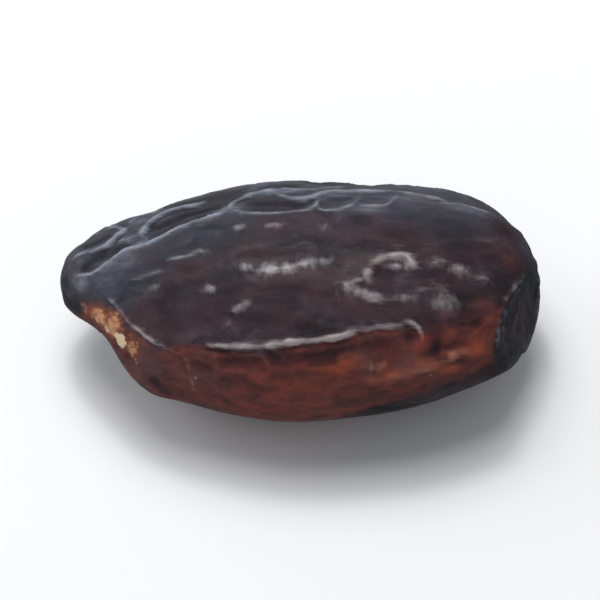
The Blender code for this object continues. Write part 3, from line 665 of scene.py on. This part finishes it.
def ridge_relief(points, height, half_width, above, below, route):
    """A crest with a trough along each side, its pale mark of wear and painted highlight, and the
    bloom and painted sheen on its gentle side.
    """
    line = np.array([shown_point(*place) for place in smooth_route(route)])
    middle = line * (1.0, 0.0, 0.0) + (0.0, 0.0, HALF_THICKNESS)
    upper_side = np.cross(line - middle, np.gradient(line, axis=0))
    reach = RIDGE_REACH * half_width
    close = np.all((points > line.min(0) - reach) & (points < line.max(0) + reach), axis=1)
    near = np.full(close.sum(), np.inf)
    where = np.zeros(close.sum())
    is_above = np.zeros(close.sum(), dtype=bool)
    for index, place in enumerate(line):
        offset = points[close] - place
        distance = np.linalg.norm(offset, axis=1)
        closer = distance < near
        near[closer] = distance[closer]
        where[closer] = index / (len(line) - 1)
        is_above[closer] = offset[closer] @ upper_side[index] > 0.0
    fade = smoothstep(np.minimum(where, 1.0 - where) / RIDGE_END + RIDGE_END)
    depth = np.where(is_above, above, below)
    side_width = half_width * np.where(depth < max(above, below), GENTLE_SIDE, 1.0)
    crest = 1.0 / (1.0 + (near / side_width) ** 2) ** CREST_POWER
    out = (near / (TROUGH_PLACE * half_width)) ** 2
    raised = np.zeros(len(points))
    raised[close] = fade * (height * crest - depth * out * np.exp(1.0 - out))
    marked = np.zeros(len(points))
    marked[close] = fade / (1.0 + (near / (MARK_WIDTH * half_width)) ** 2) ** 2
    sheen_and_bloom = np.zeros(len(points))
    sheen_and_bloom[close] = fade * crest
    return raised, marked, sheen_and_bloom


def swell_relief(points, station, rise, half_length, half_width, height):
    """A soft swell round a place of the shown side."""
    offset = points - shown_point(station, rise)
    lengthwise = offset[:, 0] ** 2
    across = offset[:, 1] ** 2 + offset[:, 2] ** 2
    return height * np.exp(-lengthwise / half_length**2 - across / half_width**2)


def net_relief(point):
    """Long wrinkles that meet in a net, and where their crests are."""
    place = Vector(point) + Vector(NET_SEED)
    warp = noise.noise_vector(place / NET_WARP_LENGTH) * NET_WARP
    cell = Vector([place[i] / NET_CELL[i] for i in range(3)]) + warp
    nearest, second = noise.voronoi(cell)[0][:2]
    gap = second - nearest
    crest = 1.0 / (1.0 + (gap / NET_LINE) ** 2)
    hollow = smoothstep(gap / NET_HOLLOW)
    strength = NET_STRENGTH + NET_CHANGE * noise.noise(place / NET_CHANGE_LENGTH)
    return strength * (NET_HEIGHT * crest - NET_DEPTH * hollow), strength * crest


def lump_relief(point):
    """How far the point is out on a broad lump."""
    return LUMP_HEIGHT * noise.noise(Vector(point) / LUMP_SIZE + Vector(NET_SEED))


def fine_relief(point):
    """Small creases between the large ridges: below 0 in a crease and above 0 on a crest."""
    place = Vector(point)
    warp = noise.noise_vector(place / FINE_WARP_LENGTH) * FINE_WARP
    cell = Vector([place[i] / FINE_CELL[i] for i in range(3)]) + warp
    folds = 1.0 - FINE_SHARPNESS * abs(noise.noise(cell))
    finer = FINER_SHARE * noise.noise(cell * FINER_SCALE)
    strength = FINE_STRENGTH + FINE_CHANGE * noise.noise(place / FINE_CHANGE_LENGTH)
    return strength * (folds + finer)


def strayed(point):
    """The point, moved a little, so that a ridge placed by it wanders off its route."""
    place = Vector(point)
    finely = STRAY_FINE * noise.noise_vector(place / STRAY_FINE_LENGTH)
    return place + STRAY * noise.noise_vector(place / STRAY_LENGTH) + finely


def unevenness(point):
    """How strong the ridges are at this point."""
    return min(UNEVEN_TOP, UNEVEN_MIDDLE + UNEVENNESS * noise.noise(Vector(point) / UNEVEN_LENGTH))


def bump_glints(points):
    """Where the bumps carry painted glints."""
    painted_glint = []
    for station, rise, half_length, half_width, height in BUMPS.values():
        spread = (GLINT_SPREAD[0] * half_length, GLINT_SPREAD[1] * half_width)
        painted_glint.append(swell_relief(points, station, rise, *spread, BUMP_GLINT_STRENGTH * height))
    return np.max(painted_glint, axis=0)


def net_share(angles):
    """How much of the net of wrinkles the skin has, round the bean."""
    middle = (SHOWN_FROM + SHOWN_TO) / 2
    reach = (SHOWN_TO - SHOWN_FROM) / 2
    from_middle = np.abs((angles - middle + 180.0) % 360.0 - 180.0)
    hidden = smoothstep((from_middle - reach) / SHOWN_FADE + 0.5)
    return SHOWN_NET + (1.0 - SHOWN_NET) * hidden


def relief(points, angles):
    """How far the skin stands out from the main form, and the marks on its relief."""
    wandering = np.array([strayed(point) for point in points])
    uneven = np.array([unevenness(point) for point in points])
    total = np.zeros(len(points))
    crests = np.zeros(len(points))
    for name, ridge in RIDGES.items():
        raised, marked, sheen_and_bloom = ridge_relief(wandering, *ridge)
        total += raised * uneven
        pale = np.maximum(CREST_WEAR_AND_HIGHLIGHT_STRENGTH[name] * marked, GENTLE_SIDE_BLOOM_AND_SHEEN.get(name, 0.0) * sheen_and_bloom)
        crests = np.maximum(crests, pale * uneven)
    for depth, half_width, route in HOLLOWS.values():
        total += ridge_relief(wandering, -depth, half_width, 0.0, 0.0, route)[0]
    for swell in SWELLS.values():
        total += swell_relief(points, *swell)
    for bump in BUMPS.values():
        total += swell_relief(wandering, *bump)
    net, net_crests = np.array([net_relief(point) for point in points]).T
    share = net_share(angles)
    total += net * share
    total += np.array([lump_relief(point) for point in points])
    fine = np.array([fine_relief(point) for point in points])
    total += FINE_HEIGHT * fine
    # pale crests from wear and painted highlight, painted glints on the bumps, fine creases and
    # crests, and the net's crests
    marks = {
        "crest": crests * (1.0 - spots(points, DULLED)),
        "painted_glint": bump_glints(wandering),
        "fine": fine,
        "net": share * net_crests**NET_MARK_POWER,
    }
    smooth = smoothstep(points[:, 2] / REST_SMOOTH)
    smooth = smooth * smoothstep((points[:, 0] + LENGTH / 2) / TIP_SMOOTH)
    return total * smooth, marks


def ring_stations():
    """Stations spaced evenly along the seed's outline."""
    fine = LENGTH * (1.0 - np.cos(np.linspace(0.0, math.pi, OUTLINE_POINTS))) / 2
    profile = plain_form(fine, np.zeros(fine.shape))
    steps = np.linalg.norm(np.diff(profile, axis=0), axis=1)
    travelled = np.concatenate(([0.0], np.cumsum(steps)))
    wanted = np.linspace(0.0, travelled[-1], RINGS + 2)[1:-1]
    return np.interp(wanted, travelled, fine)


def window(values, low, high, fade):
    """1 between low and high, with soft ends."""
    return smoothstep((values - low) / fade + 0.5) * smoothstep((high - values) / fade + 0.5)


def spots(points, table):
    """The strongest of a table's soft spots at each point."""
    return np.max([swell_relief(points, *spot) for spot in table.values()], axis=0)


def red_mask(rise, stations, angles):
    """Where the skin is red, between its upper and its lower border."""
    tail = smoothstep((stations - RED_TAIL_START) / RED_TAIL_LENGTH)
    top = (np.interp(stations, *zip(*RED_TOP)) - rise) / (RED_FADE + RED_TAIL_FADE * tail)
    bottom = (rise - np.interp(stations, *zip(*RED_BOTTOM))) / RED_FADE
    red = smoothstep(top + 0.5) * smoothstep(bottom + 0.5)
    return red * window(angles, *RED_ANGLES, RED_ANGLE_FADE)


def painted_reflection_mask(stations, angles):
    """Where the skin has a blue-grey painted reflection: the back, the underside and the beak."""
    turned = (angles - LOWEST_ANGLE) % 360.0 + LOWEST_ANGLE
    return window(turned, REFLECTION_UNDERSIDE, np.interp(stations, *zip(*REFLECTION_SIDE)), REFLECTION_FADE)


def flat_shade_mask(points, rise):
    """Where the tail's flat gets painted shade."""
    above, _ = above_flat(points)
    return smoothstep((above + np.interp(rise, *zip(*FLAT_SPREAD))) / FLAT_FADE)


def skin_masks(points, stations, angles, raised):
    """Where the skin is hollow and gets painted shade, and where it has each of its other colours and
    painted light.
    """
    rise = rise_of(points)
    return {
        "hollow": smoothstep((-raised - HOLLOW_SHADE_START) / HOLLOW_SHADE_RANGE),
        "red": red_mask(rise, stations, angles),
        "painted_reflection": painted_reflection_mask(stations, angles),
        "flat_shade": flat_shade_mask(points, rise),
        "orange_and_highlight": spots(points, ORANGE_PATCHES_AND_HIGHLIGHTS),
        "shade": spots(points, SHADES),
        "purple": spots(points, PURPLES),
        "dust": spots(points, DUSTS),
        "bloom_and_sheen": spots(points, BLOOM_AND_SHEEN_SPOTS),
        "scar": spots(points, SCARS),
        "pith": spots(points, PITHS),
    }


def skin_mesh():
    """The wrinkled skin as one closed mesh of rings, with a point at each tip."""
    turns = np.arange(COLUMNS) * 360.0 / COLUMNS
    stations, angles = [grid.ravel() for grid in np.meshgrid(ring_stations(), turns, indexing="ij")]
    stations = np.concatenate((stations, (TIP_GAP, LENGTH - TIP_GAP)))
    angles = np.concatenate((angles, (0.0, 0.0)))
    points = form(stations, angles)
    normals = outward(stations, angles)
    normals[-2:] = ((-1.0, 0.0, 0.0), (1.0, 0.0, 0.0))
    raised, marks = relief(points, angles)
    masks = marks | skin_masks(points, stations, angles, raised)
    points += raised[:, None] * normals
    points[:, 2] = np.maximum(points[:, 2], 0.0)

    def at(ring, column):
        return ring * COLUMNS + column % COLUMNS

    beak_tip, tail_tip = RINGS * COLUMNS, RINGS * COLUMNS + 1
    faces = [
        (at(r, c), at(r, c + 1), at(r + 1, c + 1), at(r + 1, c))
        for r in range(RINGS - 1)
        for c in range(COLUMNS)
    ]
    faces += [(beak_tip, at(0, c + 1), at(0, c)) for c in range(COLUMNS)]
    faces += [(tail_tip, at(RINGS - 1, c), at(RINGS - 1, c + 1)) for c in range(COLUMNS)]
    mesh = bpy.data.meshes.new("bean_skin")
    mesh.from_pydata((points * MM).tolist(), [], faces)
    for name, values in masks.items():
        layer = mesh.attributes.new(name, "FLOAT", "POINT")
        layer.data.foreach_set("value", values.astype(np.float32))
    mesh.shade_smooth()
    return mesh


class Nodes:
    """Short ways to add the nodes of one node tree."""

    def __init__(self, tree):
        self.tree = tree

    def link(self, value, socket):
        """A socket linked to a value from another node, or set to a plain one."""
        if isinstance(value, bpy.types.NodeSocket):
            self.tree.links.new(value, socket)
        else:
            socket.default_value = value

    def mask(self, name):
        """One of the mesh's masks."""
        node = self.tree.nodes.new("ShaderNodeAttribute")
        node.attribute_name = name
        return node.outputs["Fac"]

    def place(self, size):
        """Object coordinates, in units of this many millimetres along each axis."""
        coords = self.tree.nodes.new("ShaderNodeTexCoord")
        mapping = self.tree.nodes.new("ShaderNodeMapping")
        mapping.inputs["Scale"].default_value = [1.0 / (MM * side) for side in size]
        self.tree.links.new(coords.outputs["Object"], mapping.inputs["Vector"])
        return mapping.outputs["Vector"]

    def noise(self, size, detail=3.0, roughness=0.55, distortion=0.0):
        node = self.tree.nodes.new("ShaderNodeTexNoise")
        node.inputs["Scale"].default_value = 1.0
        node.inputs["Detail"].default_value = detail
        node.inputs["Roughness"].default_value = roughness
        node.inputs["Distortion"].default_value = distortion
        self.tree.links.new(self.place(size), node.inputs["Vector"])
        return node.outputs["Fac"]

    def uneven(self, size, low, high, detail=3.0):
        """Noise that runs from low to high."""
        return self.ramp(self.noise(size, detail=detail), *NOISE_RANGE, low, high)

    def cells(self, size):
        """The distance from the middles of cells of this size."""
        node = self.tree.nodes.new("ShaderNodeTexVoronoi")
        node.inputs["Scale"].default_value = 1.0
        self.tree.links.new(self.place(size), node.inputs["Vector"])
        return node.outputs["Distance"]

    def ramp(self, value, low, high, to_low=0.0, to_high=1.0):
        """The value from low to high brought smoothly to the range from to_low to to_high."""
        node = self.tree.nodes.new("ShaderNodeMapRange")
        node.interpolation_type = "SMOOTHSTEP"
        self.link(value, node.inputs["Value"])
        node.inputs["From Min"].default_value = low
        node.inputs["From Max"].default_value = high
        self.link(to_low, node.inputs["To Min"])
        self.link(to_high, node.inputs["To Max"])
        return node.outputs["Result"]

    def maths(self, operation, first, second=0.0):
        node = self.tree.nodes.new("ShaderNodeMath")
        node.operation = operation
        self.link(first, node.inputs[0])
        self.link(second, node.inputs[1])
        return node.outputs[0]

    def mix(self, share, first, second):
        """The first colour, with this share of the second."""
        node = self.tree.nodes.new("ShaderNodeMix")
        node.data_type = "RGBA"
        self.link(share, node.inputs["Factor"])
        self.link(first, node.inputs["A"])
        self.link(second, node.inputs["B"])
        return node.outputs["Result"]

    def bump(self, height, depth, before=None):
        """A normal bumped this many millimetres deep, on top of another one."""
        node = self.tree.nodes.new("ShaderNodeBump")
        node.inputs["Strength"].default_value = BUMP_STRENGTH
        node.inputs["Distance"].default_value = depth * MM
        self.link(height, node.inputs["Height"])
        if before is not None:
            self.link(before, node.inputs["Normal"])
        return node.outputs["Normal"]


def new_material(name):
    """A new material, short ways to add its nodes, and its shader."""
    material = bpy.data.materials.new(name)
    material.use_nodes = True
    tree = material.node_tree
    return material, Nodes(tree), tree.nodes["Principled BSDF"]


def colour(red, green, blue):
    return (red, green, blue, 1.0)


# The colours of the skin, of its marks, and of the painted light and shade on it
PURPLE_BLACK = colour(0.020, 0.014, 0.018)
PURPLE_BROWN = colour(0.048, 0.026, 0.031)
PURPLE_RED = colour(0.070, 0.027, 0.040)
RED_BROWN = colour(0.205, 0.043, 0.033)
RED_DARK = colour(0.076, 0.027, 0.027)
# orange patches of the red side and the scar, and painted highlights on the red side
ORANGE_AND_HIGHLIGHT = colour(0.480, 0.092, 0.032)
DUST_MAUVE = colour(0.130, 0.076, 0.086)
# painted shade, also used for dark patches of the skin
SHADE_MAROON = colour(0.028, 0.014, 0.017)
# blue-grey painted reflection
REFLECTION_GREY = colour(0.036, 0.040, 0.056)
# fine crests, pale from wear and painted highlight, on dark and on red skin
FINE_CREST_GREY = colour(0.085, 0.078, 0.090)
FINE_CREST_RED = colour(0.240, 0.085, 0.060)
# painted shade on the tail's flat, in its lighter streaks
FLAT_SHADE_GREY = colour(0.042, 0.049, 0.069)
# painted glints on the bumps; the red one also colours reddish crests of wear and painted highlight
GLINT_GREY = colour(0.230, 0.208, 0.212)
RED_HIGHLIGHT = colour(0.420, 0.165, 0.115)
# crests pale from wear and painted highlight, and a blue painted reflection on them
CREST_WEAR_AND_HIGHLIGHT = colour(0.470, 0.410, 0.410)
CREST_REFLECTION_BLUE = colour(0.250, 0.270, 0.320)
# bloom and painted sheen
BLOOM_AND_SHEEN_BLUE = colour(0.190, 0.210, 0.255)
# painted shade in hollows and fine creases
HOLLOW_SHADE = colour(0.012, 0.010, 0.014)
# painted shade on the tail's flat
FLAT_SHADE_DARK = colour(0.016, 0.018, 0.026)
SPECK_TAN = colour(0.420, 0.250, 0.170)
SCAR_RED = colour(0.170, 0.050, 0.028)
SCAR_TAN = colour(0.600, 0.300, 0.150)
SCAR_CREAM = colour(0.780, 0.590, 0.390)


def ragged(n, name, mask=None):
    """A mask with a ragged edge. The mask has the edge's name where it isn't given."""
    size, least, most, detail, start, whole = RAGGED[name]
    value = n.maths("ADD", n.mask(mask or name), n.uneven(size, least, most, detail))
    return n.ramp(value, start, whole)


def mottled(n, name, mottle):
    """A mask, broken up by the skin's mottling."""
    return n.maths("MULTIPLY", n.mask(name), n.ramp(mottle, 0.0, 1.0, *MOTTLED[name]))


def even(n, name):
    """A mask at its even strength."""
    return n.maths("MULTIPLY", n.mask(name), STRENGTH[name])


def face_colour(n, mottle):
    """The dark skin: purple-brown in patches, with a blue-grey painted reflection at the back and the
    beak.
    """
    patches = n.ramp(n.noise(PATCH_SIZE), *PATCH_EDGES)
    face = n.mix(patches, PURPLE_BLACK, PURPLE_BROWN)
    face = n.mix(mottled(n, "purple", mottle), face, PURPLE_RED)
    return n.mix(mottled(n, "painted_reflection", mottle), face, REFLECTION_GREY)


def with_soft_spots(n, skin, mottle):
    """The skin with its orange patches and painted highlights, its dusts, its painted shades and dark
    patches, and painted shade in its hollows.
    """
    skin = n.mix(mottled(n, "orange_and_highlight", mottle), skin, ORANGE_AND_HIGHLIGHT)
    skin = n.mix(mottled(n, "dust", mottle), skin, DUST_MAUVE)
    skin = n.mix(even(n, "shade"), skin, SHADE_MAROON)
    return n.mix(even(n, "hollow"), skin, HOLLOW_SHADE)


def with_fine_marks(n, skin, red):
    """The skin with tan specks on its red side, painted shade in its fine creases, and fine crests
    pale from wear and painted highlight.
    """
    specks = n.ramp(n.cells(SPECK_SPACING), *SPECK_EDGES, STRENGTH["specks"], 0.0)
    skin = n.mix(n.maths("MULTIPLY", specks, red), skin, SPECK_TAN)
    skin = n.mix(n.ramp(n.mask("fine"), *FINE_CREASE_SHADE), skin, HOLLOW_SHADE)
    return n.mix(n.ramp(n.mask("fine"), *FINE_CREST_WEAR_AND_HIGHLIGHT), skin, n.mix(red, FINE_CREST_GREY, FINE_CREST_RED))


def with_flat_shade(n, skin):
    """The skin with painted shade on the tail's flat, which is streaked."""
    streaks = n.ramp(n.noise(STREAK_SIZE), *STREAK_EDGES)
    return n.mix(even(n, "flat_shade"), skin, n.mix(streaks, FLAT_SHADE_DARK, FLAT_SHADE_GREY))


def with_bloom_and_sheen(n, skin):
    """The skin with its bluish bloom and painted sheen, which also lie on the net's crests."""
    pale = n.maths("MAXIMUM", n.mask("bloom_and_sheen"), n.mask("net"))
    return n.mix(n.maths("MULTIPLY", pale, n.uneven(*BLOOM_AND_SHEEN_BREAKS)), skin, BLOOM_AND_SHEEN_BLUE)


def with_bump_glints(n, skin, red):
    """The skin with painted glints on its bumps, in broken patches."""
    painted_glint = n.maths("MULTIPLY", ragged(n, "painted_glint"), STRENGTH["painted_glint"])
    return n.mix(painted_glint, skin, n.mix(red, GLINT_GREY, RED_HIGHLIGHT))


def with_crest_wear_and_highlights(n, skin, red):
    """The skin with its crests, pale from wear and painted highlight: a bluish painted reflection on
    the blue-grey skin and on the flat, reddish on red.
    """
    bluish = n.maths("MAXIMUM", n.mask("painted_reflection"), n.mask("flat_shade"))
    reddish = n.maths("SUBTRACT", n.ramp(red, *REDDISH_EDGES), n.mask("flat_shade"))
    pale = n.mix(bluish, CREST_WEAR_AND_HIGHLIGHT, CREST_REFLECTION_BLUE)
    pale = n.mix(n.ramp(reddish, 0.0, 1.0), pale, RED_HIGHLIGHT)
    return n.mix(ragged(n, "crest"), skin, pale)


def with_scar(n, skin):
    """The skin with its scar: bare and reddish, with tan flecks and cream pith."""
    pith = ragged(n, "pith")
    bare = n.mix(ragged(n, "tan", "scar"), SCAR_RED, SCAR_TAN)
    bare = n.mix(pith, bare, SCAR_CREAM)
    return n.mix(n.maths("MAXIMUM", ragged(n, "scar"), pith), skin, bare)


def skin_colour(n):
    """The skin's colour, from the dark face and the red side to the marks and painted light on top."""
    mottle = n.noise(MOTTLE_SIZE, detail=6.0, roughness=0.6, distortion=0.3)
    mottle = n.ramp(mottle, *MOTTLE_EDGES)
    red = ragged(n, "red")
    skin = n.mix(red, face_colour(n, mottle), n.mix(mottle, RED_DARK, RED_BROWN))
    skin = with_soft_spots(n, skin, mottle)
    skin = with_fine_marks(n, skin, red)
    skin = with_flat_shade(n, skin)
    skin = with_bloom_and_sheen(n, skin)
    skin = with_bump_glints(n, skin, red)
    skin = with_crest_wear_and_highlights(n, skin, red)
    return with_scar(n, skin)


def skin_roughness(n):
    """The skin's roughness: uneven, and more in the scar and the painted shades."""
    rough = n.uneven(ROUGH_SIZE, *ROUGHNESS, 4.0)
    rough = n.maths("ADD", rough, n.maths("MULTIPLY", n.mask("scar"), SCAR_ROUGHER))
    return n.maths("ADD", rough, n.maths("MULTIPLY", n.mask("shade"), SHADE_ROUGHER))


def skin_coat(n):
    """The oily gloss: strongest on the bumps with painted glints, and weak where the skin has painted
    shade.
    """
    coat = n.ramp(ragged(n, "painted_glint"), 0.0, 1.0, *COAT)
    dark = n.maths("MAXIMUM", n.mask("hollow"), n.mask("shade"))
    return n.maths("MULTIPLY", coat, n.ramp(dark, 0.0, 1.0, 1.0, HOLLOW_COAT))


def skin_normal(n):
    """The grain of the skin, with pores in it."""
    grain = n.bump(n.noise(GRAIN_SIZE, detail=4.0, distortion=0.3), GRAIN_DEPTH)
    return n.bump(n.ramp(n.cells(PORE_SIZE), *PORE_EDGES), PORE_DEPTH, grain)


def skin_material():
    material, n, shader = new_material("bean_skin")
    n.link(skin_colour(n), shader.inputs["Base Color"])
    n.link(skin_roughness(n), shader.inputs["Roughness"])
    shader.inputs["IOR"].default_value = SKIN_IOR
    shader.inputs["Specular IOR Level"].default_value = SKIN_SPECULAR
    n.link(skin_coat(n), shader.inputs["Coat Weight"])
    shader.inputs["Coat Roughness"].default_value = COAT_ROUGHNESS
    normal = skin_normal(n)
    n.link(normal, shader.inputs["Normal"])
    n.link(normal, shader.inputs["Coat Normal"])
    return material


def make_bean():
    noise.seed_set(NOISE_SEED)
    mesh = skin_mesh()
    mesh.materials.append(skin_material())
    bean = bpy.data.objects.new("bean_skin", mesh)
    bpy.context.scene.collection.objects.link(bean)
    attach(bean, "root")
    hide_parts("bean")


def make_floor():
    mesh = bpy.data.meshes.new("floor")
    sides = ((-1, -1), (1, -1), (1, 1), (-1, 1))
    corners = [(x * FLOOR_HALF, y * FLOOR_HALF, 0) for x, y in sides]
    mesh.from_pydata(corners, [], [range(4)])
    material, _, shader = new_material("floor")
    shader.inputs["Base Color"].default_value = colour(FLOOR_TONE, FLOOR_TONE, FLOOR_TONE)
    shader.inputs["Roughness"].default_value = FLOOR_ROUGHNESS
    shader.inputs["Specular IOR Level"].default_value = FLOOR_SPECULAR
    mesh.materials.append(material)
    floor = bpy.data.objects.new("floor", mesh)
    bpy.context.scene.collection.objects.link(floor)
    floor.visible_glossy = False


def make_world():
    """A soft surround with a bright band low at the back left, and dark far below."""
    world = bpy.data.worlds.new("studio")
    world.use_nodes = True
    n = Nodes(world.node_tree)
    background = n.tree.nodes["Background"]
    background.inputs["Color"].default_value = colour(*WORLD_TINT)
    direction = n.tree.nodes.new("ShaderNodeTexCoord").outputs["Generated"]
    sideways = n.tree.nodes.new("ShaderNodeVectorMath")
    sideways.operation = "DOT_PRODUCT"
    n.link(direction, sideways.inputs[0])
    n.link(Vector(BRIGHT_SIDE).normalized(), sideways.inputs[1])
    upward = n.tree.nodes.new("ShaderNodeSeparateXYZ")
    n.link(direction, upward.inputs[0])
    strength = n.ramp(sideways.outputs["Value"], *BRIGHT_SIDE_REACH, *WORLD_STRENGTH)
    strength = n.ramp(upward.outputs["Z"], *BAND_TOP, strength, WORLD_STRENGTH[0])
    strength = n.ramp(upward.outputs["Z"], *DARK_EDGE, DARK_STRENGTH, strength)
    n.link(strength, background.inputs["Strength"])
    bpy.context.scene.world = world


def make_lamp(name, place, power, size, tint, seen_in_gloss):
    """A round soft lamp that points at the bean."""
    data = bpy.data.lights.new(name, "AREA")
    data.shape = "DISK"
    data.size = size
    data.energy = power
    data.color = tint
    lamp = bpy.data.objects.new(name, data)
    lamp.location = place
    lamp.rotation_euler = (-Vector(place)).to_track_quat("-Z", "Y").to_euler()
    lamp.visible_glossy = seen_in_gloss
    bpy.context.scene.collection.objects.link(lamp)


def make_camera():
    """A camera that looks down at the bean's middle from the photo's elevation."""
    view = math.radians(VIEW_ELEVATION)
    forward = Vector((0.0, math.cos(view), -math.sin(view)))
    upward = Vector((0.0, math.sin(view), math.cos(view)))
    right = Vector((1.0, 0.0, 0.0))
    data = bpy.data.cameras.new("camera")
    data.sensor_fit = "HORIZONTAL"
    data.sensor_width = SENSOR_WIDTH
    data.lens = SENSOR_WIDTH * CAMERA_DISTANCE * BEAN_SHARE / (LENGTH * MM)
    data.clip_start = CLIP_START
    camera = bpy.data.objects.new("camera", data)
    place = Vector((0.0, 0.0, HALF_THICKNESS * MM)) - forward * CAMERA_DISTANCE
    turned = Matrix((right, upward, -forward)).transposed().to_4x4()
    camera.matrix_world = Matrix.Translation(place) @ turned
    bpy.context.scene.collection.objects.link(camera)
    bpy.context.scene.camera = camera


make_camera()
make_floor()
make_world()
for lamp_name, lamp in LAMPS.items():
    make_lamp(lamp_name, *lamp)
make_bean()
bpy.context.scene.view_settings.view_transform = "Standard"
